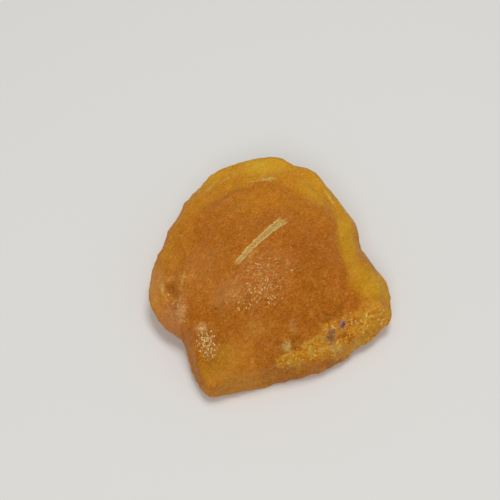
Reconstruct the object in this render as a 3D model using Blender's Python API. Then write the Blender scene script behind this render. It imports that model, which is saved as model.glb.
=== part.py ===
"""A lump of raw copal, one solid piece of hardened tree resin.

It is a broken chunk: a domed crown, a steep front break, a thin rim round the back and right,
a short tip on the right and a rough crust on the lower right shoulder.
The viewer stands on the -Y side. X runs to the right, Y away from the viewer, Z up.
The origin is on the surface that the lump rests on, under the middle of its outline.
"""

import math

import bmesh
import bpy
import numpy as np
from mathutils import Vector, noise

# Driving dimensions, in millimetres. A length in the scene is a length here times MM.
MM = 0.001
CORE = (0.0, 0.0, 6.0)  # a point well inside, from which every point of the surface can be seen
REACH = (34.0, 35.0, 15.0)  # more than the lump reaches from its core in any direction
SPHERE_SUBDIVISIONS = 6
SOFTENING = 2  # rounds of smoothing of the broken faces
FACES_KEPT = 9200  # of the carved surface, before the underside is cut flat
HALVINGS = 26  # of the search for the surface along each ray

# The rim is the line where the lump is widest: x, y and the height of the edge there.
# It runs anticlockwise as seen from above, starting at the right waist.
RIM = (
    (17.8, 4.2, 6.5),  # waist above the tip
    (17.3, 6.6, 7.0),
    (16.8, 9.6, 7.5),
    (15.1, 11.9, 7.8),  # chipped notch
    (13.7, 14.9, 8.2),
    (11.7, 18.0, 8.6),  # right shoulder
    (8.0, 21.8, 9.6),
    (5.2, 21.9, 10.0),  # chipped notch
    (2.5, 23.8, 10.3),
    (-1.4, 24.9, 10.4),  # furthest back
    (-4.4, 24.0, 10.2),
    (-6.7, 23.7, 9.9),
    (-8.9, 22.5, 9.5),
    (-10.8, 21.7, 9.0),
    (-13.8, 18.7, 8.5),  # left shoulder
    (-16.6, 13.8, 8.0),
    (-17.5, 11.3, 7.8),  # chipped notch
    (-19.1, 8.6, 7.5),
    (-20.7, 4.3, 7.0),
    (-22.5, -1.2, 6.0),
    (-23.1, -4.6, 5.0),  # left bulge
    (-22.7, -7.7, 4.0),
    (-21.1, -10.8, 3.0),
    (-19.0, -12.9, 2.5),
    (-16.8, -13.6, 2.2),  # left notch
    (-15.5, -15.6, 1.5),
    (-13.9, -20.0, 1.0),
    (-11.5, -24.8, 0.8),  # front corner
    (-8.2, -23.7, 0.6),
    (-2.9, -22.6, 0.5),
    (3.4, -21.1, 0.5),
    (9.4, -19.2, 0.8),
    (12.7, -17.5, 1.0),
    (15.5, -15.3, 1.2),
    (18.7, -13.3, 1.6),
    (22.1, -10.2, 2.8),
    (22.9, -8.2, 3.0),
    (22.9, -6.1, 3.5),  # tip
    (22.7, -3.4, 4.2),
    (21.6, -1.2, 5.0),
    (20.2, 0.3, 5.6),
)
RIM_STEPS = 720
RIM_ROUNDING = 0.5  # half width of the soft edge at the rim
RIM_GROWTH = 0.08  # makes up for what the soft edge takes off
RIM_SMOOTHING = 3  # steps over which the reach is evened out
FRONT_LEAN = (0.14, 1.0)  # how far the front wall leans in for each unit above and below the rim
BACK_LEAN = (0.9, 1.7)  # the same at the back, where the lump thins to an edge
FRONT_TO_BACK = (-0.75, -0.1)  # sines of the bearings between which the lean changes over

# The broken faces of the top: a point on the face, its dip in degrees and the bearing that it dips to.
# Bearings are degrees anticlockwise from +X.
TOP_FACES = {
    "crown": ((-2.0, -4.0, 16.8), 5, 200),
    "long back slope": ((-2.0, 2.0, 16.2), 12, 100),
    "right slope": ((4.0, -2.0, 16.0), 27, 10),
    "right back slope": ((7.0, 9.0, 14.0), 24, 40),
    "upper left slope": ((-8.0, 7.0, 14.2), 24, 140),
    "left slope": ((-8.5, -2.0, 14.8), 29, 185),
    "front break": ((-1.0, -14.0, 13.7), 43, 278),
    "left front break": ((-8.5, -14.0, 11.6), 33, 222),
    "left bulge face": ((-19.6, -7.9, 7.6), 48, 212),
    "right front slope": ((6.0, -9.0, 13.6), 41, 310),
    "front shoulder": ((-1.0, -9.5, 16.0), 15, 270),
    "back bevel": ((0.0, 17.5, 12.5), 13, 92),
}
TOP_BLEND = 2.2

# The rising faces of the underside, in the same form. The dip is how steeply each rises to its bearing.
UNDER_FACES = {
    "resting face": ((0.0, 0.0, -0.5), 0, 0),
    "back rise": ((0.0, 6.0, 0.0), 19, 90),
    "right back rise": ((7.0, 7.0, 0.0), 22, 45),
    "right rise": ((12.5, -2.0, 0.0), 14, 0),
    "left rise": ((-12.5, 0.0, 0.0), 22, 180),
    "left back rise": ((-8.0, 8.0, 0.0), 22, 135),
    "left front rise": ((-16.0, -12.0, 0.0), 22, 210),
    "right front rise": ((18.0, -13.5, 0.0), 12, 325),
    "back left break": ((-7.0, 15.0, 4.9), 24, 114),
    "back break": ((3.0, 16.0, 5.5), 21, 76),
    "right back break": ((11.0, 9.0, 4.4), 25, 50),
    "left break": ((-14.0, 6.0, 2.6), 18, 165),
}
UNDER_BLEND = 0.8

# Low lobes of resin that stand against the foot of the dome: centre and half sizes.
LOBES = {
    "tip": ((17.5, -5.5, 4.6), (8.0, 6.5, 3.0)),
    "crust shelf": ((11.5, -13.0, 2.0), (11.5, 6.4, 4.6)),
}
LOBE_BLEND = 2.0

# Bumps stand up from the top and pits sink into it: centre, radius and height.
BUMPS = {
    "left lump": ((-13.0, -15.0), 1.9, 0.9),
    "lower left lump": ((-16.6, -10.6), 1.9, 0.7),
    "shelf knob": ((11.6, -14.9), 1.3, 0.7),
    "crease knob": ((-0.9, 15.6), 1.5, 0.5),
    "left pit": ((-18.4, -6.6), 1.8, -1.1),
    "left pit lip": ((-16.6, -5.4), 1.5, 0.5),
    "shelf hollow": ((10.4, -12.4), 1.5, -0.7),
    "shelf hole": ((13.3, -11.2), 1.3, -0.8),
    "shelf orange pit": ((14.4, -13.4), 1.2, -0.6),
    "lower shelf pit": ((11.9, -17.2), 1.2, -0.6),
    "front chip": ((5.0, -17.6), 1.6, -0.9),
    "front chip lip": ((3.0, -17.2), 1.3, 0.5),
}

# Long low ridges, and creases with a negative height: the points they run through, half width, height.
RIDGES = {
    "streak": (((-6.6, -6.4), (2.6, 4.4)), 0.9, 0.3),
    "long hackle": (((-15.0, -5.0), (-13.0, -0.5), (-9.0, 5.5), (-3.0, 12.0)), 1.0, 0.25),
    "crown break": (((-15.0, -9.0), (-9.5, -11.0), (-2.0, -12.4), (5.0, -12.0)), 2.6, 0.22),
    "right rim crease": (((8.6, 17.6), (12.0, 12.0), (13.4, 8.0), (13.4, 3.0), (14.3, -4.5)), 2.0, -0.35),
    "tip crease": (((15.0, -4.0), (18.0, -5.2), (20.4, -6.8)), 1.3, -0.2),
    "back crease": (((-12.0, 12.5), (-6.0, 15.4), (-0.9, 16.6), (5.5, 15.8)), 1.6, -0.22),
    "left rim crease": (((-18.6, 2.5), (-16.0, 9.0), (-12.6, 15.0)), 1.2, -0.12),
}

# Unevenness of the surface: height and size of its waves. The wander bends the ridges and bumps.
WANDER = (0.7, 4.5)
SWELLS = (0.45, 8.5)
RIPPLES = (0.16, 3.0)
CRUST = (0.5, 1.9)
CRUST_PATCH = ((11.8, -13.2), (13.0, 5.4), 28)  # centre, half sizes and turn in degrees
CRUST_FADE = (0.6, 1.0)  # shares of the patch's half sizes between which the crust dies away
STEEP_FADE = (0.15, 0.5)  # upward parts of the normal between which ridges and bumps come in
WAVE_DROP = 0.9  # how fast the finer waves lose height
WAVE_RATIO = 2.1  # how much finer each set of waves is than the last
WAVE_SETS = 3

COPAL_COLOUR = (0.50, 0.19, 0.025, 1.0)
COPAL_ROUGHNESS = 0.42
COPAL_IOR = 1.54
COPAL_TRANSMISSION = 0.45

GROUND_SIZE = 80.0  # of the block that cuts the resting face


def clear_scene():
    for obj in list(bpy.data.objects):
        bpy.data.objects.remove(obj, do_unlink=True)


def new_collection(name):
    collection = bpy.data.collections.new(name)
    bpy.context.scene.collection.children.link(collection)
    return collection


def move_to(obj, collection):
    for old in list(obj.users_collection):
        old.objects.unlink(obj)
    collection.objects.link(obj)


def smooth_max(a, b, width):
    """The greater of a and b, with the corner between them rounded over width."""
    share = np.clip(0.5 + 0.5 * (a - b) / width, 0, 1)
    return b + (a - b) * share + width * share * (1 - share)


def smooth_step(low, high, value):
    share = np.clip((value - low) / (high - low), 0, 1)
    return share * share * (3 - 2 * share)


def rim_curve():
    """Bearings round the lump, and the rim's reach and height at each."""
    points = np.array(RIM)
    count = len(points)
    steps = RIM_STEPS // count
    dense = []
    for i in range(count):
        before, start, end, after = (points[(i + k) % count] for k in (-1, 0, 1, 2))
        for t in np.arange(steps) / steps:
            dense.append(
                start
                + 0.5 * t * (end - before)
                + t * t * (before - 2.5 * start + 2 * end - 0.5 * after)
                + t ** 3 * (1.5 * (start - end) + 0.5 * (after - before))
            )
    dense = np.array(dense)
    bearing = np.arctan2(dense[:, 1], dense[:, 0])
    order = np.argsort(bearing)
    even = np.linspace(-math.pi, math.pi, RIM_STEPS, endpoint=False)
    reach, height = (
        np.interp(even, bearing[order], values[order], period=2 * math.pi)
        for values in (np.hypot(dense[:, 0], dense[:, 1]), dense[:, 2])
    )
    rolls = range(-(RIM_SMOOTHING // 2), RIM_SMOOTHING // 2 + 1)
    return even, sum(np.roll(reach, k) for k in rolls) / len(rolls), height


def face_distance(points, face, up):
    """How far each point is outside a broken face, measured square to it."""
    origin, dip, bearing = face
    tilt, turn = math.radians(dip), math.radians(bearing)
    normal = (math.sin(tilt) * math.cos(turn), math.sin(tilt) * math.sin(turn), up * math.cos(tilt))
    return (points - np.array(origin)) @ np.array(normal)


def wall_distance(points, rim):
    """How far each point is outside the wall that drops from the rim and leans in above and below it."""
    bearing = np.arctan2(points[:, 1], points[:, 0])
    reach = np.interp(bearing, rim[0], rim[1], period=2 * math.pi)
    height = points[:, 2] - np.interp(bearing, rim[0], rim[2], period=2 * math.pi)
    backness = smooth_step(*FRONT_TO_BACK, np.sin(bearing))
    above = FRONT_LEAN[0] + (BACK_LEAN[0] - FRONT_LEAN[0]) * backness
    below = FRONT_LEAN[1] + (BACK_LEAN[1] - FRONT_LEAN[1]) * backness
    zero = np.zeros_like(height)
    inset = above * smooth_max(height, zero, RIM_ROUNDING) + below * smooth_max(-height, zero, RIM_ROUNDING)
    inset -= (above + below) * RIM_ROUNDING / 4 + RIM_GROWTH
    lean = np.where(height > 0, above, below)
    return (np.hypot(points[:, 0], points[:, 1]) - reach + inset) / np.hypot(1, lean)


def lobe_distance(points, lobe):
    centre, half = (np.array(value) for value in lobe)
    scaled = np.linalg.norm((points - centre) / half, axis=1)
    return (scaled - 1) * half.min()


def outside(points, rim):
    """Positive outside the lump and negative inside it, in millimetres."""
    top = None
    for face in TOP_FACES.values():
        distance = face_distance(points, face, 1)
        top = distance if top is None else smooth_max(top, distance, TOP_BLEND)
    for lobe in LOBES.values():
        top = -smooth_max(-top, -lobe_distance(points, lobe), LOBE_BLEND)
    under = None
    for face in UNDER_FACES.values():
        distance = face_distance(points, face, -1)
        under = distance if under is None else smooth_max(under, distance, UNDER_BLEND)
    return smooth_max(smooth_max(top, under, RIM_ROUNDING), wall_distance(points, rim), RIM_ROUNDING)


def carve(directions):
    """The point where each direction from the core leaves the lump."""
    rim = rim_curve()
    core, rays = np.array(CORE), directions * np.array(REACH)
    low, high = np.zeros(len(rays)), np.ones(len(rays))
    for _ in range(HALVINGS):
        middle = (low + high) / 2
        inside = outside(core + rays * middle[:, None], rim) < 0
        low, high = np.where(inside, middle, low), np.where(inside, high, middle)
    return core + rays * low[:, None]


def distance_from(line, plan):
    """Distance of each point from a line on the top, as seen from above."""
    nearest = np.full(len(plan), np.inf)
    for start, end in zip(line[:-1], line[1:]):
        run = np.array(end) - np.array(start)
        offset = plan - np.array(start)
        share = np.clip(offset @ run / (run @ run), 0, 1)
        nearest = np.minimum(nearest, np.linalg.norm(offset - share[:, None] * run, axis=1))
    return nearest


def crust_share(plan):
    """How far each point lies in the crust, from 0 outside it to 1 in its middle."""
    centre, half, turn = CRUST_PATCH
    angle = math.radians(turn)
    offset = plan - np.array(centre)
    lengthways = offset[:, 0] * math.cos(angle) + offset[:, 1] * math.sin(angle)
    across = offset[:, 1] * math.cos(angle) - offset[:, 0] * math.sin(angle)
    return 1 - smooth_step(*CRUST_FADE, np.hypot(lengthways / half[0], across / half[1]))


def waves(points, size, seed):
    """Smooth unevenness between about -1 and 1, with waves of the given size."""
    shift = Vector((17.0, 5.0, -9.0)) * seed
    return np.array(
        [noise.fractal(Vector(point) / size + shift, WAVE_DROP, WAVE_RATIO, WAVE_SETS) for point in points]
    )


def relief(points, facing_up):
    """How far the surface stands out at each point, beyond the broken faces."""
    bends = [waves(points, WANDER[1], seed) for seed in (4, 5)]
    plan = points[:, :2] + WANDER[0] * np.stack(bends, axis=1)
    height = SWELLS[0] * waves(points, SWELLS[1], 1) + RIPPLES[0] * waves(points, RIPPLES[1], 2)
    top = np.zeros(len(points))
    for centre, radius, rise in BUMPS.values():
        share = np.linalg.norm(plan - np.array(centre), axis=1) / radius
        top += rise * (1 - smooth_step(0.0, 1.0, share))
    for line, half_width, rise in RIDGES.values():
        top += rise * (1 - smooth_step(0.0, 1.0, distance_from(line, plan) / half_width))
    top += CRUST[0] * crust_share(plan) * waves(points, CRUST[1], 3)
    return height + top * smooth_step(*STEEP_FADE, facing_up)


def copal_material():
    material = bpy.data.materials.new("copal resin")
    material.use_nodes = True
    shader = material.node_tree.nodes["Principled BSDF"]
    shader.inputs["Base Color"].default_value = COPAL_COLOUR
    shader.inputs["Roughness"].default_value = COPAL_ROUGHNESS
    shader.inputs["Metallic"].default_value = 0.0
    shader.inputs["IOR"].default_value = COPAL_IOR
    shader.inputs["Transmission Weight"].default_value = COPAL_TRANSMISSION
    return material


def read_vectors(items, name):
    values = np.empty(len(items) * 3, np.float32)
    items.foreach_get(name, values)
    return values.reshape(-1, 3).astype(float)


def wear_edges(mesh):
    shape = bmesh.new()
    shape.from_mesh(mesh)
    for _ in range(SOFTENING):
        bmesh.ops.smooth_vert(
            shape, verts=shape.verts, factor=0.5, use_axis_x=True, use_axis_y=True, use_axis_z=True
        )
    shape.to_mesh(mesh)
    shape.free()


def carved_lump(collection):
    """The lump, with its underside still rounded below the surface that it rests on."""
    bpy.ops.mesh.primitive_ico_sphere_add(subdivisions=SPHERE_SUBDIVISIONS, radius=1.0)
    lump = bpy.context.object
    lump.name = lump.data.name = "copal"
    move_to(lump, collection)
    mesh = lump.data
    points = carve(read_vectors(mesh.vertices, "co"))
    mesh.vertices.foreach_set("co", points.astype(np.float32).ravel())
    wear_edges(mesh)
    mesh.update()
    points = read_vectors(mesh.vertices, "co")
    normals = read_vectors(mesh.vertex_normals, "vector")
    points += normals * relief(points, normals[:, 2])[:, None]
    points[:, :2] -= (points[:, :2].min(axis=0) + points[:, :2].max(axis=0)) / 2
    mesh.vertices.foreach_set("co", (points * MM).astype(np.float32).ravel())
    mesh.update()
    mesh.materials.append(copal_material())
    mesh.shade_smooth()
    return lump


def ground_cutter(collection):
    """A block whose top is the surface that the lump rests on."""
    size = GROUND_SIZE * MM
    bpy.ops.mesh.primitive_cube_add(size=size, location=(0, 0, -size / 2))
    cutter = bpy.context.object
    cutter.name = "resting face cutter"
    move_to(cutter, collection)
    cutter.hide_render = True
    cutter.display_type = "WIRE"
    return cutter


def cut_flat(lump, cutter):
    thin_out = lump.modifiers.new("fewer faces", "DECIMATE")
    thin_out.ratio = FACES_KEPT / len(lump.data.polygons)
    flatten = lump.modifiers.new("resting face", "BOOLEAN")
    flatten.operation = "DIFFERENCE"
    flatten.object = cutter


def main():
    clear_scene()
    lump = carved_lump(new_collection("raw copal"))
    cut_flat(lump, ground_cutter(new_collection("cutters")))


main()
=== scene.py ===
# Raw copal: the looks of one broken lump of tree resin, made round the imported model.
# Lengths in the dictionaries are in millimetres, places are x and y seen from above.
import math

import bmesh
import bpy
import numpy as np
from mathutils import Matrix, Vector, noise
from mathutils.bvhtree import BVHTree


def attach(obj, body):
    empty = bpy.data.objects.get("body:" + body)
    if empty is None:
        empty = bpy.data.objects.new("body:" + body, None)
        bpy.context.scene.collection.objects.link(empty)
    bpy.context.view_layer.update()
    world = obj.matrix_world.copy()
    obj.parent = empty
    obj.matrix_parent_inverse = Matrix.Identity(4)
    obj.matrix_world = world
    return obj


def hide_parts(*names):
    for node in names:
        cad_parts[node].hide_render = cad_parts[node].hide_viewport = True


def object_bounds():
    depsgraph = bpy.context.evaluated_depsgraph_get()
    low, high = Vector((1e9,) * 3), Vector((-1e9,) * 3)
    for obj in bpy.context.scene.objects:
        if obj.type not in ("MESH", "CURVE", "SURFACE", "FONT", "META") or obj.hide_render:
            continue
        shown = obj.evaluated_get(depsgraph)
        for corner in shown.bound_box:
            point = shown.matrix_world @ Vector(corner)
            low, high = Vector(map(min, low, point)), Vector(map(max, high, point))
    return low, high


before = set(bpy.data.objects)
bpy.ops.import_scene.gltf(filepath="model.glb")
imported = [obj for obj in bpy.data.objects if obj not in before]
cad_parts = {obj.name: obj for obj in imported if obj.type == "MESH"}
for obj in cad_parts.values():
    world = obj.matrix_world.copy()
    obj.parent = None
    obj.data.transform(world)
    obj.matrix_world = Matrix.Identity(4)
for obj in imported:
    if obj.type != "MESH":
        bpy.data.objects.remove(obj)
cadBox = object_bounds()
mm = 0.001
print("frame loaded")

# Camera, on the photograph's side and height
cameraView = {
    "aim": (-3.73, 4.19, 7.0),
    "elevation": 55.0,
    "distance": 230.0,
    "lens": 86.4,
    "sensorWidth": 36.0,
}


def makeCamera():
    tilt = math.radians(cameraView["elevation"])
    ahead = Vector((0, math.cos(tilt), -math.sin(tilt)))
    data = bpy.data.cameras.new("camera")
    data.lens = cameraView["lens"]
    data.sensor_width = cameraView["sensorWidth"]
    data.clip_start = 0.01
    data.clip_end = 20.0
    camera = bpy.data.objects.new("camera", data)
    bpy.context.scene.collection.objects.link(camera)
    place = Vector(cameraView["aim"]) - ahead * cameraView["distance"]
    camera.matrix_world = Matrix.Translation(place * mm) @ ahead.to_track_quat("-Z", "Y").to_matrix().to_4x4()
    bpy.context.scene.camera = camera


makeCamera()


# Shader maths written as Python expressions
class Term:
    def __init__(self, paint, socket):
        self.paint = paint
        self.socket = socket

    def maths(self, operation, first, second=0.0):
        return self.paint.node("ShaderNodeMath", {"operation": operation}, {0: first, 1: second})

    def __add__(self, other):
        return self.maths("ADD", self, other)

    def __radd__(self, other):
        return self.maths("ADD", other, self)

    def __sub__(self, other):
        return self.maths("SUBTRACT", self, other)

    def __rsub__(self, other):
        return self.maths("SUBTRACT", other, self)

    def __mul__(self, other):
        return self.maths("MULTIPLY", self, other)

    def __rmul__(self, other):
        return self.maths("MULTIPLY", other, self)

    def __truediv__(self, other):
        return self.maths("DIVIDE", self, other)

    def __neg__(self):
        return self.maths("MULTIPLY", self, -1.0)

    def __abs__(self):
        return self.maths("ABSOLUTE", self)

    def power(self, other):
        return self.maths("POWER", self, other)

    def most(self, other):
        return self.maths("MAXIMUM", self, other)

    def step(self, low, high):  # smooth rise from 0 at low to 1 at high
        return self.paint.node(
            "ShaderNodeMapRange",
            {"interpolation_type": "SMOOTHSTEP"},
            {"Value": self, "From Min": low, "From Max": high},
        )


class Paint:
    def __init__(self, name):
        self.material = bpy.data.materials.new(name)
        self.material.use_nodes = True
        self.tree = self.material.node_tree
        self.shader = self.tree.nodes["Principled BSDF"]

    def node(self, kind, settings=None, sockets=None, output=0):
        made = self.tree.nodes.new(kind)
        for name, value in (settings or {}).items():
            if name == "stops":
                self.setStops(made.color_ramp, value)
            else:
                setattr(made, name, value)
        for name, value in (sockets or {}).items():
            self.feed(made.inputs[name], value)
        return Term(self, made.outputs[output])

    def setStops(self, ramp, stops):
        while len(ramp.elements) < len(stops):
            ramp.elements.new(1.0)
        for element, (position, colour) in zip(ramp.elements, stops):
            element.position = position
            element.color = (*colour, 1.0)

    def feed(self, socket, value):
        if isinstance(value, Term):
            self.tree.links.new(value.socket, socket)
        elif socket.type == "RGBA":
            socket.default_value = (*value, 1.0)
        else:
            socket.default_value = value

    def set(self, **values):  # keys are the shader's socket names without spaces
        named = {socket.name.replace(" ", ""): socket for socket in self.shader.inputs}
        for name, value in values.items():
            self.feed(named[name], value)

    def mix(self, share, first, second):
        return self.node(
            "ShaderNodeMix",
            {"data_type": "RGBA"},
            {0: share, 6: first, 7: second},
            output=2,
        )

    def places(self):  # object coordinates in millimetres
        origin = self.node("ShaderNodeTexCoord", output="Object")
        return self.node("ShaderNodeVectorMath", {"operation": "SCALE"}, {0: origin, "Scale": 1 / mm})

    def noise(self, place, size, detail=3.0, rough=0.5, warp=0.0, output="Fac"):
        sockets = {"Vector": place, "Scale": 1 / size, "Detail": detail, "Roughness": rough, "Distortion": warp}
        return self.node("ShaderNodeTexNoise", {}, sockets, output)

    def stretch(self, place, centre, turn, size):
        # Moves place so that a box of that half size, turned by that many degrees, becomes a unit box
        return self.node(
            "ShaderNodeMapping",
            {"vector_type": "TEXTURE"},
            {"Vector": place, "Location": centre, "Rotation": (0, 0, math.radians(turn)), "Scale": size},
        )

    def scale(self, colour, factor):
        return self.node("ShaderNodeVectorMath", {"operation": "SCALE"}, {0: colour, "Scale": factor})

    def add(self, colour, tint, share):
        amount = self.node("ShaderNodeVectorMath", {"operation": "SCALE"}, {0: tint, "Scale": share})
        return self.node("ShaderNodeVectorMath", {"operation": "ADD"}, {0: colour, 1: amount})

    def worms(self, place, size, width, detail=1.0):
        # Thin curling lines, where a soft noise crosses its middle
        return 1 - abs(self.noise(place, size, detail) - 0.5).step(0.0, width)

    def specks(self, place, size, radius):
        sockets = {"Vector": place, "Scale": 1 / size, "Randomness": 1.0}
        return 1 - self.node("ShaderNodeTexVoronoi", {}, sockets, "Distance").step(radius * 0.5, radius)

    def patch(self, place, centre, half, turn=0.0, soft=0.5):
        # An ellipse on the plan: 1 well inside it and 0 outside
        local = self.stretch(place, (*centre, 0), turn, (*half, 1e4))
        reach = self.node("ShaderNodeVectorMath", {"operation": "LENGTH"}, {0: local}, "Value")
        return reach.step(1.0, 1.0 - soft)


# The lump's surface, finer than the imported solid
lumpShape = {
    "voxel": 0.26,
    "smoothRounds": 14,
    "regainRounds": 8,  # evens out what the smoothing took off, before it is given back
    "waxy": (0.05, 2.4),  # height and size of the soft unevenness
    "grain": (0.025, 0.8),
    "wallGrain": (0.08, 1.1),  # on the steep sides
    "hackleTurn": 49.0,  # degrees from +X that the fine striations run
    "hackle": (0.03, 0.75),
    "crustGrain": (0.13, 0.65),
    "crustPits": (0.16, 1.5),
    "brokenGrain": (0.26, 1.1),
    "scallops": (0.27, 3.4),  # shallow shell-shaped breaks of the sides and the underside
    "smallScallops": (0.14, 1.5),
    "thicknessRays": ((0, 0), (0.6, 0), (-0.6, 0), (0, 0.6), (0, -0.6)),
    "thicknessMost": 18.0,
}

# Patches of the surface: centre, half sizes and turn in degrees
patches = {
    # The first patch is the crown, where the lamp's sheen is painted into the colour as a pale pinkish tint
    "haze": ((-1.0, -7.2), (7.6, 7.0), 40),
    "dashes": ((-2.2, -11.2), (7.0, 2.6), 8),
    "sparkle": ((-11.6, -17.0), (2.4, 3.8), 25),
    "broken": ((-17.8, -8.2), (5.6, 2.5), -66),
    "grey spots": ((12.1, -14.0), (2.6, 1.7), 42),
}

# The crust runs along the lower right shoulder: points and half widths
crustBand = ((1.4, -20.2, 0.7), (4.6, -19.3, 1.3), (6.7, -18.1, 2.0), (9.4, -16.8, 2.6), (12.0, -14.7, 3.4),
             (15.6, -13.6, 4.0), (18.8, -11.8, 4.0), (21.4, -9.8, 3.2))

# Pits and knobs of the surface: place, radius and height
spots = {
    "left pit": ((-18.9, -5.6), 0.9, -0.2),
    "pit lip left": ((-20.3, -5.3), 0.6, 0.2),
    "pit lip back": ((-18.5, -4.1), 0.7, 0.15),
    "yellow chip": ((3.0, -18.1), 0.8, 0.25),
    "chip hollow": ((4.7, -17.9), 0.8, -0.4),
    "grey knob": ((11.0, -14.9), 0.9, 0.2),
    "grey hollow": ((13.3, -12.9), 0.9, -0.3),
    "crust hollow": ((14.0, -14.6), 1.0, -0.45),
    "low hollow": ((11.3, -17.7), 0.9, -0.4),
    "left knob": ((-12.9, -15.0), 1.3, 0.25),
    "small left knob": ((-16.4, -11.0), 1.2, 0.25),
    "back notch": ((-6.4, 22.6), 0.7, -0.4),
    "small back notch": ((-0.9, 24.0), 0.6, -0.35),
}

# Lines of the surface: points, half width, height
lines = {
    "rim ledge": (((10.6, 17.6), (12.0, 15.0), (13.0, 12.4)), 0.4, 0.12),
    "rim step": (((13.0, 12.4), (13.6, 9.1), (13.5, 3.6), (14.0, -1.5), (14.2, -6.6)), 0.5, -0.04),
    "tip crease": (((15.7, -6.1), (18.0, -6.0), (20.5, -6.8)), 0.4, -0.10),
    "long hackle": (((-16.5, -6.7), (-15.8, -2.4), (-12.1, 1.3), (-5.6, 8.6)), 0.3, 0.08),
    "back crease": (((-4.5, 16.2), (-0.8, 17.4), (2.0, 16.6)), 0.5, 0.14),
    "upper left hackle": (((-12.7, 16.2), (-9.2, 19.8)), 0.3, 0.08),
    "streak lower edge": (((-6.4, -5.9), (2.9, 4.7)), 0.3, 0.05),
    "streak upper edge": (((-6.8, -5.0), (1.4, 6.0)), 0.3, 0.05),
    "front edge": (((-10.0, -21.9), (-3.7, -20.9), (2.6, -19.2)), 0.6, 0.06),
}


def smoothStep(low, high, value):
    share = np.clip((value - low) / (high - low), 0, 1)
    return share * share * (3 - 2 * share)


def patchShare(plan, name, soft=0.5):
    centre, half, turn = patches[name]
    angle = math.radians(turn)
    offset = plan - np.array(centre)
    along = offset[:, 0] * math.cos(angle) + offset[:, 1] * math.sin(angle)
    across = offset[:, 1] * math.cos(angle) - offset[:, 0] * math.sin(angle)
    return 1 - smoothStep(1 - soft, 1.0, np.hypot(along / half[0], across / half[1]))


def lineShare(plan, points, halfWidth):
    nearest = np.full(len(plan), np.inf)
    for start, end in zip(points[:-1], points[1:]):
        run = np.array(end) - np.array(start)
        offset = plan - np.array(start)
        share = np.clip(offset @ run / (run @ run), 0, 1)
        nearest = np.minimum(nearest, np.linalg.norm(offset - share[:, None] * run, axis=1))
    return 1 - smoothStep(0.0, 1.0, nearest / halfWidth)


def crustShare(plan, soft=0.6):
    share = np.zeros(len(plan))
    for start, end in zip(crustBand[:-1], crustBand[1:]):
        run = np.array(end[:2]) - np.array(start[:2])
        offset = plan - np.array(start[:2])
        along = np.clip(offset @ run / (run @ run), 0, 1)
        width = start[2] + (end[2] - start[2]) * along
        reach = np.linalg.norm(offset - along[:, None] * run, axis=1) / width
        share = np.maximum(share, 1 - smoothStep(1 - soft, 1.0, reach))
    return share


def waves(points, size, seed, octaves=3):
    shift = Vector((13.0, 7.0, -5.0)) * seed
    return np.array([noise.fractal(Vector(p) / size + shift, 0.9, 2.1, octaves) for p in points])


def scallops(points, size):
    # Dished cells that meet in sharp ridges, as resin breaks
    return np.array([noise.voronoi(Vector(p) / size)[0][0] ** 2 for p in points]) - 0.25


def readVectors(items, name):
    values = np.empty(len(items) * 3, np.float32)
    items.foreach_get(name, values)
    return values.reshape(-1, 3).astype(float)


def meshEdges(mesh):
    edges = np.empty(len(mesh.edges) * 2, np.int32)
    mesh.edges.foreach_get("vertices", edges)
    return edges.reshape(-1, 2).T


def evenOut(values, edges, rounds):
    first, second = edges
    count = np.bincount(first, minlength=len(values)) + np.bincount(second, minlength=len(values))
    columns = values.reshape(len(values), -1).T.copy()
    for _ in range(rounds):
        for i, column in enumerate(columns):
            total = np.bincount(first, column[second], len(column)) + np.bincount(second, column[first], len(column))
            columns[i] = 0.5 * column + 0.5 * total / count
    return columns.T.reshape(values.shape)


def fineCopy(node):
    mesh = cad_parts[node].data.copy()
    mesh.materials.clear()
    shape = bmesh.new()
    shape.from_mesh(mesh)
    bmesh.ops.remove_doubles(shape, verts=shape.verts, dist=1e-6)
    shape.to_mesh(mesh)
    shape.free()
    coarse = bpy.data.objects.new("coarse", mesh)
    bpy.context.scene.collection.objects.link(coarse)
    remesh = coarse.modifiers.new("even", "REMESH")
    remesh.mode = "VOXEL"
    remesh.voxel_size = lumpShape["voxel"] * mm
    evaluated = coarse.evaluated_get(bpy.context.evaluated_depsgraph_get())
    fine = bpy.data.meshes.new_from_object(evaluated)
    bpy.data.objects.remove(coarse)
    # Takes the facets off, then gives back the size that this took
    before = readVectors(fine.vertices, "co")
    edges = meshEdges(fine)
    points = evenOut(before, edges, lumpShape["smoothRounds"])
    points += evenOut(before - points, edges, lumpShape["regainRounds"])
    fine.vertices.foreach_set("co", points.astype(np.float32).ravel())
    fine.update()
    return fine


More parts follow.
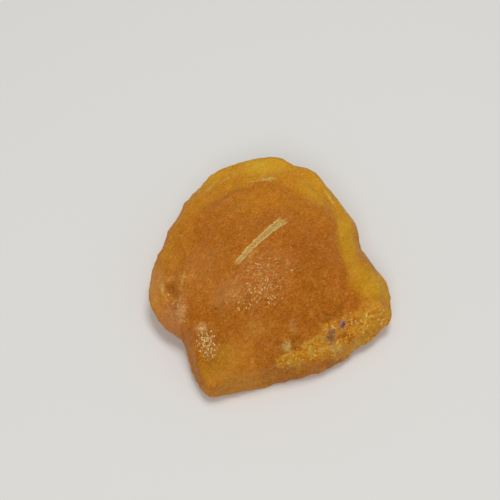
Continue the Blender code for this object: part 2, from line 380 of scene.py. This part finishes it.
def surfaceRelief(points, normals):
    plan = points[:, :2]
    up = smoothStep(0.1, 0.45, normals[:, 2])
    wall = 1 - smoothStep(0.45, 0.75, np.abs(normals[:, 2]))
    height, size = lumpShape["waxy"]
    relief = height * waves(points, size, 1)
    height, size = lumpShape["grain"]
    relief += height * waves(points, size, 2)
    height, size = lumpShape["wallGrain"]
    relief += height * wall * waves(points, size, 3)
    height, size = lumpShape["hackle"]
    angle = math.radians(lumpShape["hackleTurn"])
    across = (points[:, 1] * math.cos(angle) - points[:, 0] * math.sin(angle)) / size
    along = (points[:, 0] * math.cos(angle) + points[:, 1] * math.sin(angle)) / (size * 9)
    relief += height * up * waves(np.stack([across, along, points[:, 2] * 0.1], axis=1), 1.0, 4, 2)
    crust = crustShare(plan) * up
    height, size = lumpShape["crustGrain"]
    relief += height * crust * waves(points, size, 5)
    height, size = lumpShape["crustPits"]
    relief -= height * crust * smoothStep(0.15, 0.6, waves(points, size, 6, 2))
    bent = points + 0.8 * np.stack([waves(points, 3.0, seed, 2) for seed in (11, 12, 13)], axis=1)
    broken = np.maximum(1 - smoothStep(0.55, 0.85, normals[:, 2]), 0.18)
    for name in ("scallops", "smallScallops"):
        height, size = lumpShape[name]
        relief += height * broken * scallops(bent, size)
    height, size = lumpShape["brokenGrain"]
    relief += height * patchShare(plan, "broken", 0.7) * waves(points, size, 7)
    for path, halfWidth, rise in lines.values():
        relief += rise * up * lineShare(plan, path, halfWidth)
    for centre, radius, rise in spots.values():
        relief += rise * up * (1 - smoothStep(0.0, 1.0, np.linalg.norm(plan - np.array(centre), axis=1) / radius))
    return relief


def thickness(points, normals, mesh):
    tree = BVHTree.FromPolygons([tuple(p) for p in points], [tuple(face.vertices) for face in mesh.polygons])
    most = lumpShape["thicknessMost"]
    result = np.zeros(len(points))
    for i, (point, normal) in enumerate(zip(points, normals)):
        inward = -Vector(normal)
        side = inward.orthogonal().normalized()
        other = inward.cross(side)
        for first, second in lumpShape["thicknessRays"]:
            direction = (inward + side * first + other * second).normalized()
            distance = tree.ray_cast(Vector(point) + inward * 0.02, direction, most)[3]
            result[i] += most if distance is None else distance
    return result / len(lumpShape["thicknessRays"])


def addAttribute(mesh, name, values):
    mesh.attributes.new(name, "FLOAT", "POINT").data.foreach_set("value", values.astype(np.float32))


def makeLump():
    mesh = fineCopy("copal")
    mesh.name = "copalLump"
    points = readVectors(mesh.vertices, "co") / mm
    normals = readVectors(mesh.vertex_normals, "vector")
    points += normals * surfaceRelief(points, normals)[:, None]
    points = np.clip(points, np.array(cadBox[0]) / mm, np.array(cadBox[1]) / mm)
    mesh.vertices.foreach_set("co", (points * mm).astype(np.float32).ravel())
    mesh.update()
    normals = readVectors(mesh.vertex_normals, "vector")
    depth = thickness(points, normals, mesh)
    addAttribute(mesh, "thickness", evenOut(depth, meshEdges(mesh), 12))
    # Painted shade: the steep, thin edge of the upper rim gets a dark outline, standing in for the edge seen through
    # its thickness
    edge = np.maximum(1 - smoothStep(0.40, 0.70, np.abs(normals[:, 2])), 1 - smoothStep(0.7, 1.5, depth))
    addAttribute(mesh, "rim", edge * smoothStep(4.5, 7.0, points[:, 2]) * smoothStep(-4.0, 3.0, points[:, 1]))
    up = smoothStep(0.25, 0.6, normals[:, 2])
    plan = points[:, :2]
    crust = crustShare(plan) * smoothStep(1.0, 2.4, points[:, 2]) * smoothStep(-0.5, -0.1, normals[:, 2])
    shares = {name: patchShare(plan, name, 0.8) * up for name in ("haze", "dashes", "sparkle", "broken")}
    addAttribute(mesh, "crust", crust)
    addAttribute(mesh, "crumbs", crust * (1 - patchShare(plan, "grey spots", 0.3)))
    for name in ("haze", "sparkle", "broken"):
        addAttribute(mesh, name, shares[name])
    glitter = shares["haze"] * 0.2 + shares["dashes"] * 0.5 + shares["sparkle"] * 3.0 + shares["broken"] * 0.35
    addAttribute(mesh, "glitter", glitter + crust * 0.2)
    mesh.shade_smooth()
    lump = bpy.data.objects.new("copalLump", mesh)
    bpy.context.scene.collection.objects.link(lump)
    return lump


lump = makeLump()
print("lump:", len(lump.data.vertices), "points")

# Resin: clear, cloudy and frosted at once
resinLook = {
    "thinColour": (0.80, 0.45, 0.012),
    "midColour": (0.71, 0.305, 0.009),
    "deepColour": (0.60, 0.200, 0.004),
    "thicknesses": (1.5, 6.5, 13.0),
    "hazeColour": (0.60, 0.23, 0.045),
    "rimColour": (0.34, 0.14, 0.008),
    "paleColour": (0.92, 0.52, 0.10),
    "frostColour": (1.0, 0.57, 0.20),
    "streakColour": (0.88, 0.56, 0.12),
    "threadColour": (0.97, 0.80, 0.33),
    "crustStops": (
        (0.32, (0.70, 0.19, 0.003)),
        (0.44, (0.92, 0.33, 0.008)),
        (0.56, (1.0, 0.47, 0.030)),
        (0.72, (1.0, 0.62, 0.14)),
    ),
    "transmission": 0.42,
    "ior": 1.54,
    "gloss": 0.12,
    "glossColour": (1.0, 0.82, 0.45),
    "scatter": (0.0015, 0.0009, 0.0004),
    "absorbColour": (0.98, 0.74, 0.04),
    "absorbDensity": 80.0,
}

# Coloured marks, some of them painted light, shade or sheen: centre, half sizes, turn, softness, colour, strength
broadMarks = {
    # Darker and redder right of the crown: partly the deeper resin, partly painted shade where the face slopes away
    # from the light
    "amber heart": ((6.5, -1.5), (6.5, 8.0), 20, 0.9, (0.53, 0.160, 0.001), 0.8),
    "left flush": ((-13.5, -4.0), (7.5, 8.0), 0, 0.9, (0.68, 0.28, 0.045), 0.7),
    "left wall flush": ((-18.5, -10.5), (5.0, 5.0), 0, 0.8, (0.70, 0.29, 0.09), 0.8),
    # Painted shade below the crown on the left, where the face turns steeply to the front
    "low left amber": ((-10.5, -13.0), (4.0, 3.0), 10, 0.9, (0.58, 0.20, 0.006), 0.5),
    # Painted light: a lighter patch where the lower front face turns upward
    "light patch": ((-2.5, -16.4), (3.2, 2.2), 20, 0.9, (0.76, 0.38, 0.05), 0.4),
    "front yellow": ((-7.0, -19.6), (6.5, 3.4), 8, 0.9, (0.74, 0.35, 0.012), 0.6),
    # Painted light: the foot of the front wall is lighter, lit up from the pale floor in front
    "front band": ((-6.0, -22.9), (9.0, 1.9), 8, 0.7, (0.86, 0.38, 0.04), 0.5),
    # Painted sheen: a whitish cast lightening the left of the crown
    "veil": ((-7.4, -9.6), (5.5, 4.6), 10, 0.9, (0.74, 0.36, 0.10), 0.6),
    "left rim tan": ((-21.6, -3.0), (2.8, 7.5), 8, 0.9, (0.76, 0.37, 0.11), 0.7),
    "tip": ((19.0, -4.0), (6.0, 5.5), 0, 0.8, (0.80, 0.46, 0.012), 0.75),
    "right band": ((14.8, 5.0), (3.0, 13.0), 4, 0.8, (0.80, 0.45, 0.015), 0.7),
    "right shoulder": ((8.5, 15.5), (6.5, 5.5), -30, 0.9, (0.80, 0.42, 0.014), 0.65),
    "back band": ((-1.5, 20.6), (7.0, 3.4), 0, 0.9, (0.84, 0.52, 0.03), 0.7),
    "back amber": ((-2.0, 11.5), (10.5, 5.5), 8, 0.9, (0.72, 0.30, 0.006), 0.6),
}
smallMarks = {
    "grey spot": ((11.0, -15.0), (2.2, 1.6), 60, 1.0, (0.36, 0.27, 0.24), 0.8),
    "grey specks": ((11.1, -14.9), (1.9, 1.4), 60, 1.0, (0.12, 0.05, 0.04), 0.8),
    "lavender": ((13.2, -12.8), (1.3, 2.0), -20, 1.0, (0.42, 0.32, 0.32), 0.75),
    "dark spot": ((13.3, -12.9), (0.75, 1.1), -20, 1.0, (0.12, 0.05, 0.08), 0.95),
    "cream patch": ((11.9, -16.6), (2.3, 1.4), 15, 1.0, (1.0, 0.62, 0.22), 0.9),
    "crust shade": ((15.4, -11.8), (2.4, 1.7), 10, 1.0, (0.50, 0.18, 0.008), 0.7),
    "crust orange": ((14.2, -14.6), (2.3, 1.6), 20, 1.0, (0.42, 0.12, 0.002), 1.0),
    "low orange": ((11.2, -18.6), (2.0, 1.5), 20, 1.0, (0.48, 0.14, 0.002), 1.0),
    "chip": ((2.9, -18.1), (1.8, 1.3), 30, 1.0, (1.0, 0.62, 0.22), 0.9),
    "chip flecks": ((4.0, -14.8), (1.4, 1.8), 0, 1.0, (0.96, 0.58, 0.18), 0.5),
    "chip shade": ((4.9, -17.9), (1.8, 1.0), 10, 1.0, (0.44, 0.12, 0.002), 1.0),
    "cream line": ((6.8, -16.8), (2.0, 0.3), 14, 1.0, (0.96, 0.58, 0.20), 0.6),
    "pit shade": ((-18.7, -5.6), (2.0, 1.8), 0, 1.0, (0.44, 0.13, 0.004), 0.8),
    # Painted highlights on the lip of the left pit
    "pit crescent": ((-20.1, -4.9), (0.7, 2.1), 8, 1.0, (0.98, 0.60, 0.19), 0.8),
    "pit top": ((-18.6, -3.9), (1.4, 0.8), 10, 1.0, (0.98, 0.60, 0.19), 0.75),
    # Painted highlights along the long hackle ridge
    "hackle light": ((-16.2, -4.9), (0.6, 3.2), -8, 1.0, (0.96, 0.57, 0.16), 0.7),
    "hackle spot": ((-15.6, -4.6), (0.5, 0.5), 0, 1.0, (1.0, 0.66, 0.28), 0.9),
    "pale specks": ((-16.4, -10.8), (1.2, 2.8), -10, 1.0, (0.96, 0.58, 0.22), 0.65),
    # Painted highlight on the dome of the left knob
    "lump light": ((-12.6, -14.6), (2.2, 1.7), 20, 1.0, (0.84, 0.45, 0.18), 0.65),
    "crease light": ((-0.2, 17.4), (2.6, 1.0), 8, 1.0, (0.97, 0.78, 0.24), 0.9),
    "crease tail": ((-2.4, 17.2), (3.2, 0.5), 2, 1.0, (0.94, 0.70, 0.16), 0.7),
    "yellow spot": ((-0.9, 21.4), (0.45, 0.5), 0, 1.0, (0.92, 0.66, 0.10), 0.7),
    "orange spot back": ((-0.8, 23.6), (0.5, 0.6), 0, 1.0, (0.62, 0.20, 0.01), 0.7),
    "orange spot right": ((6.1, 20.2), (0.55, 0.6), 0, 1.0, (0.62, 0.20, 0.01), 0.7),
    "orange spot left": ((-15.5, 12.2), (0.55, 0.8), -20, 1.0, (0.62, 0.20, 0.01), 0.7),
    # Painted highlights along the upper left bevel
    "upper left line": ((-11.2, 17.4), (4.0, 0.5), 46, 1.0, (0.92, 0.64, 0.14), 0.75),
    "second left line": ((-9.0, 18.2), (2.6, 0.35), 40, 1.0, (0.92, 0.64, 0.14), 0.6),
    # Painted highlight along the ledge of the right rim
    "rim line": ((11.8, 14.6), (4.2, 0.5), -62, 1.0, (0.92, 0.66, 0.15), 0.8),
    "rim shade": ((11.2, 14.3), (4.2, 0.4), -62, 1.0, (0.56, 0.22, 0.005), 0.6),
    "ledge line": ((13.4, 6.5), (6.5, 0.45), -88, 1.0, (0.92, 0.62, 0.10), 0.5),
    "tip glint": ((20.0, -4.2), (0.6, 0.4), 30, 1.0, (0.94, 0.78, 0.42), 0.8),
}


def paintStreak(paint, place, colour):
    local = paint.stretch(place, (-1.9, 0.4, 0), 50.9, (7.7, 1.0, 1e4))
    parts = paint.node("ShaderNodeSeparateXYZ", {}, {0: local})
    along = Term(paint, parts.socket.node.outputs["X"])
    across = abs(Term(paint, parts.socket.node.outputs["Y"]))
    ragged = paint.noise(place, 0.6, 3.0, 0.6) - 0.5
    width = 0.80 + along * 0.30 + ragged * 0.9
    share = across / width
    inside = (1 - share.step(0.75, 1.0)) * (1 - (abs(along) + ragged * 0.5).step(0.8, 1.0))
    edges = 1 - abs(share - 0.72).step(0.05, 0.3)
    dots = paint.noise(place, 0.3, 3.0, 0.7).step(0.44, 0.58)
    colour = paint.mix(inside * (0.25 + dots * 0.6), colour, resinLook["streakColour"])
    colour = paint.mix(inside * (dots * 0.45 + edges * 0.55), colour, resinLook["threadColour"])
    trail = paint.patch(place, (3.4, 8.4), (4.2, 1.9), 62, 0.9) * paint.specks(place, 0.55, 0.3)
    return paint.mix(trail * 0.9, colour, resinLook["threadColour"])


def paintResin():
    paint = Paint("copalResin")
    place = paint.places()
    bend = paint.node("ShaderNodeVectorMath", {"operation": "SUBTRACT"}, {0: paint.noise(place, 2.2, output="Color"), 1: (0.5, 0.5, 0.5)})
    bent = paint.node("ShaderNodeVectorMath", {"operation": "MULTIPLY_ADD"}, {0: bend, 1: (2.2, 2.2, 2.2), 2: place})
    depth = paint.node("ShaderNodeAttribute", {"attribute_name": "thickness"}, output="Fac")
    cloud = paint.noise(place, 6.0, 4.0)
    depth = depth + (cloud - 0.5) * 5.0
    thin, middle, deep = resinLook["thicknesses"]
    colour = paint.mix(depth.step(thin, middle), resinLook["thinColour"], resinLook["midColour"])
    colour = paint.mix(depth.step(middle, deep), colour, resinLook["deepColour"])

    for centre, half, turn, soft, tint, strength in broadMarks.values():
        colour = paint.mix(paint.patch(bent, centre, half, turn, soft) * strength, colour, tint)

    # Mottling and hackle of the broken faces
    grit = paint.noise(place, 0.7, 4.0, 0.7)
    fine = paint.noise(place, 0.5, 3.0, 0.6)
    mottle = paint.noise(bent, 1.3, 4.0, 0.6)
    hackle = paint.noise(paint.stretch(bent, (0, 0, 0), 49, (3.4, 0.55, 1.2)), 1.0, 3.0, 0.6)
    lineMask = paint.noise(place, 1.9, 2.0)
    worms = paint.worms(bent, 1.1, 0.03) * lineMask.step(0.44, 0.56)
    darkWorms = paint.worms(bent, 0.9, 0.04) * lineMask.step(0.54, 0.42)
    dashes = paint.worms(paint.stretch(place, (0, 0, 0), 49, (2.6, 0.5, 1.0)), 1.0, 0.03, 2.0) * mottle.step(0.5, 0.6)

    # The parts that glitter have more of the pale lines and of the painted glint specks
    haze = paint.node("ShaderNodeAttribute", {"attribute_name": "haze"}, output="Fac")
    sparkle = paint.node("ShaderNodeAttribute", {"attribute_name": "sparkle"}, output="Fac")
    crustPlace = paint.node("ShaderNodeAttribute", {"attribute_name": "crust"}, output="Fac")
    broken = paint.node("ShaderNodeAttribute", {"attribute_name": "broken"}, output="Fac")
    # Painted sheen: a pale pinkish tint over the crown, where the lamp's sheen falls
    colour = paint.mix(haze * 0.6, colour, resinLook["hazeColour"])
    colour = paint.mix(broken * grit.step(0.5, 0.62) * 0.6, colour, resinLook["deepColour"])

    # Crust: flaky, feathered, yellow over orange
    feather = paint.noise(paint.stretch(bent, (0, 0, 0), 32, (1.8, 0.34, 0.7)), 1.0, 4.0, 0.65)
    crust = (crustPlace + (grit - 0.5) * 1.3).step(0.15, 0.85)
    flakes = 0.5 + (feather - 0.5) * 1.2 + (fine - 0.5) * 0.5 + (mottle - 0.5) * 0.4
    flakeColour = paint.node("ShaderNodeValToRGB", {"stops": resinLook["crustStops"]}, {0: flakes}, "Color")
    colour = paint.mix(crust * 0.8, colour, flakeColour)

    fleck = paint.noise(place, 0.27, 3.0, 0.7)
    flecks = 0.3 + fleck.step(0.42, 0.56) * 0.7
    speckle = grit * 0.5 + fine * 0.5 - 0.5
    for centre, half, turn, soft, tint, strength in smallMarks.values():
        inside = paint.patch(place, centre, half, turn, soft)
        share = (inside + speckle * 2.4).step(0.2, 0.8) * inside.step(0.0, 0.2) * flecks
        colour = paint.mix(share * strength, colour, tint)
    colour = paintStreak(paint, place, colour)

    pale = worms.most(dashes) * (0.5 + haze * 0.3 + broken * 0.4)
    colour = paint.mix(pale, colour, resinLook["paleColour"])
    # Painted glints: small pale specks, most on the crown's sheen patch and the sparkle cluster
    dots = paint.specks(place, 0.8, 0.18) * (0.5 + haze * 0.4)
    dots = dots.most(paint.specks(place, 0.5, 0.2) * sparkle * 0.9)
    colour = paint.mix(dots, colour, resinLook["paleColour"])
    # Painted shade: a dark outline along the rim
    rim = paint.node("ShaderNodeAttribute", {"attribute_name": "rim"}, output="Fac")
    colour = paint.mix(rim * 0.7, colour, resinLook["rimColour"])
    shade = 1.16 + (mottle - 0.5) * 0.3 + (hackle - 0.5) * 0.45 + (fine - 0.5) * 0.5 - darkWorms * 0.16
    colour = paint.scale(colour, shade)
    scratches = paint.noise(paint.stretch(bent, (0, 0, 0), 49, (1.5, 0.24, 0.5)), 1.0, 3.0, 0.65)
    frost = (fleck - 0.5) * 1.0 + (scratches - 0.5) * 0.6
    colour = paint.add(colour, resinLook["frostColour"], frost)

    rough = 0.5 + (fine - 0.5) * 0.4 + crust * 0.2
    height = fine * 0.5 + hackle * 0.6 + pale * 0.2 + flakes * crust
    bump = paint.node("ShaderNodeBump", {}, {"Strength": 0.6, "Distance": 0.00025, "Height": height})
    paint.set(
        BaseColor=colour,
        Roughness=rough,
        Normal=bump,
        IOR=resinLook["ior"],
        SpecularIORLevel=resinLook["gloss"],
        SpecularTint=resinLook["glossColour"],
        TransmissionWeight=resinLook["transmission"],
        SubsurfaceWeight=1.0,
        SubsurfaceRadius=resinLook["scatter"],
        SubsurfaceScale=1.0,
    )
    absorb = paint.node(
        "ShaderNodeVolumeAbsorption",
        {},
        {"Color": resinLook["absorbColour"], "Density": resinLook["absorbDensity"]},
    )
    paint.tree.links.new(absorb.socket, paint.tree.nodes["Material Output"].inputs["Volume"])
    return paint.material


lump.data.materials.append(paintResin())
print("resin painted")

# Loose crumbs of the crust, and small chips on the frosted faces coloured pale cream as painted glints
scatterPieces = {
    "crustCrumbs": {
        "attribute": "crumbs",
        "density": 3.0,  # pieces for each square millimetre
        "size": 0.19,
        "shape": (1.0, 0.7, 0.4),
        "seed": 4,
        "stops": ((0.35, (0.66, 0.24, 0.005)), (0.55, (0.84, 0.40, 0.02)), (0.7, (0.94, 0.55, 0.13))),
        "roughness": 0.6,
    },
    "glitterChips": {
        "attribute": "glitter",
        "density": 5.0,
        "size": 0.13,
        "shape": (1.5, 0.5, 0.4),
        "seed": 9,
        # Painted glints: the chips' pale cream colour stands in for light caught on them
        "stops": ((0.4, (0.95, 0.60, 0.17)), (0.6, (1.0, 0.82, 0.46))),
        "roughness": 0.45,
    },
}


def makeScatterTree():
    tree = bpy.data.node_groups.new("scatterOnSurface", "GeometryNodeTree")
    wanted = (("Geometry", "NodeSocketGeometry"), ("Attribute", "NodeSocketString"), ("Density", "NodeSocketFloat"),
              ("Size", "NodeSocketFloat"), ("Shape", "NodeSocketVector"), ("Seed", "NodeSocketInt"),
              ("Material", "NodeSocketMaterial"))
    for name, kind in wanted:
        tree.interface.new_socket(name, in_out="INPUT", socket_type=kind)
    tree.interface.new_socket("Geometry", in_out="OUTPUT", socket_type="NodeSocketGeometry")

    def add(kind, settings=None, sockets=None):
        made = tree.nodes.new(kind)
        for name, value in (settings or {}).items():
            setattr(made, name, value)
        for name, value in (sockets or {}).items():
            if isinstance(value, bpy.types.NodeSocket):
                tree.links.new(value, made.inputs[name])
            else:
                made.inputs[name].default_value = value
        return made

    given = add("NodeGroupInput").outputs
    weight = add("GeometryNodeInputNamedAttribute", {"data_type": "FLOAT"}, {"Name": given["Attribute"]})
    density = add("ShaderNodeMath", {"operation": "MULTIPLY"}, {0: weight.outputs[0], 1: given["Density"]})
    points = add(
        "GeometryNodeDistributePointsOnFaces",
        {"distribute_method": "RANDOM"},
        {"Mesh": given["Geometry"], "Density": density.outputs[0], "Seed": given["Seed"]},
    )
    chip = add("GeometryNodeMeshIcoSphere", {}, {"Radius": 1.0, "Subdivisions": 1})
    twist = add("FunctionNodeRandomValue", {"data_type": "FLOAT_VECTOR"},
                {"Min": (-0.5, -0.5, -3.14), "Max": (0.5, 0.5, 3.14), "Seed": given["Seed"]})
    turned = add("FunctionNodeRotateRotation", {"rotation_space": "LOCAL"},
                 {"Rotation": points.outputs["Rotation"], "Rotate By": twist.outputs[0]})
    spread = add("FunctionNodeRandomValue", {"data_type": "FLOAT"}, {"Seed": given["Seed"]})
    spread.inputs[2].default_value = 0.35
    spread.inputs[3].default_value = 1.5
    size = add("ShaderNodeMath", {"operation": "MULTIPLY"}, {0: spread.outputs[1], 1: given["Size"]})
    scale = add("ShaderNodeVectorMath", {"operation": "SCALE"}, {0: given["Shape"], "Scale": size.outputs[0]})
    placed = add(
        "GeometryNodeInstanceOnPoints",
        {},
        {"Points": points.outputs["Points"], "Instance": chip.outputs["Mesh"], "Rotation": turned.outputs[0],
         "Scale": scale.outputs[0]},
    )
    real = add("GeometryNodeRealizeInstances", {}, {"Geometry": placed.outputs[0]})
    done = add("GeometryNodeSetMaterial", {}, {"Geometry": real.outputs[0], "Material": given["Material"]})
    tree.links.new(done.outputs[0], add("NodeGroupOutput").inputs["Geometry"])
    return tree


def paintChips(name, settings):
    paint = Paint(name + "Finish")
    share = paint.noise(paint.places(), 0.5, 2.0)
    colour = paint.node("ShaderNodeValToRGB", {"stops": settings["stops"]}, {0: share}, "Color")
    paint.set(BaseColor=colour, Roughness=settings["roughness"], SpecularIORLevel=0.25)
    return paint.material


def scatter(tree, name, settings):
    carrier = bpy.data.objects.new("carrier", lump.data)
    bpy.context.scene.collection.objects.link(carrier)
    modifier = carrier.modifiers.new("scatter", "NODES")
    modifier.node_group = tree
    values = {
        "Attribute": settings["attribute"],
        "Density": settings["density"] / mm ** 2,
        "Size": settings["size"] * mm,
        "Shape": settings["shape"],
        "Seed": settings["seed"],
        "Material": paintChips(name, settings),
    }
    for item in tree.interface.items_tree:
        if item.in_out == "INPUT" and item.name in values:
            modifier[item.identifier] = values[item.name]
    mesh = bpy.data.meshes.new_from_object(carrier.evaluated_get(bpy.context.evaluated_depsgraph_get()))
    carrier.modifiers.clear()
    bpy.data.objects.remove(carrier)
    mesh.name = name
    points = np.clip(readVectors(mesh.vertices, "co"), np.array(cadBox[0]), np.array(cadBox[1]))
    mesh.vertices.foreach_set("co", points.astype(np.float32).ravel())
    mesh.update()
    made = bpy.data.objects.new(name, mesh)
    bpy.context.scene.collection.objects.link(made)
    print(name + ":", len(mesh.polygons), "faces")
    return made


scatterTree = makeScatterTree()
pieces = [scatter(scatterTree, name, settings) for name, settings in scatterPieces.items()]
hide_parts("copal")
for piece in (lump, *pieces):
    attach(piece, "root")

# Floor and light
studio = {
    "floorSize": 3.0,
    "floorColour": (0.80, 0.795, 0.77),
    "worldColour": (1.0, 0.99, 0.97),
    "worldStrength": 0.32,
    "lamps": (
        ((0.06, 0.10, 0.65), 0.28, 1.75),
        ((-0.05, -0.42, 0.46), 0.30, 0.95),
    ),
}


def makeStudio():
    bpy.ops.mesh.primitive_plane_add(size=studio["floorSize"])
    floor = bpy.context.object
    floor.name = "floor"
    paint = Paint("paleFloor")
    paint.set(BaseColor=studio["floorColour"], Roughness=0.7, SpecularIORLevel=0.2)
    floor.data.materials.append(paint.material)
    world = bpy.data.worlds.new("world")
    bpy.context.scene.world = world
    world.use_nodes = True
    background = world.node_tree.nodes["Background"]
    background.inputs["Color"].default_value = (*studio["worldColour"], 1.0)
    background.inputs["Strength"].default_value = studio["worldStrength"]
    for number, (place, size, power) in enumerate(studio["lamps"]):
        data = bpy.data.lights.new("lamp", "AREA")
        data.shape = "DISK"
        data.size = size
        data.energy = power
        lamp = bpy.data.objects.new("lamp" + str(number), data)
        bpy.context.scene.collection.objects.link(lamp)
        lamp.location = place
        lamp.rotation_euler = Vector(place).to_track_quat("Z", "Y").to_euler()
    bpy.context.scene.view_settings.view_transform = "Standard"
    bpy.context.scene.cycles.use_denoising = True


makeStudio()
print("studio made")
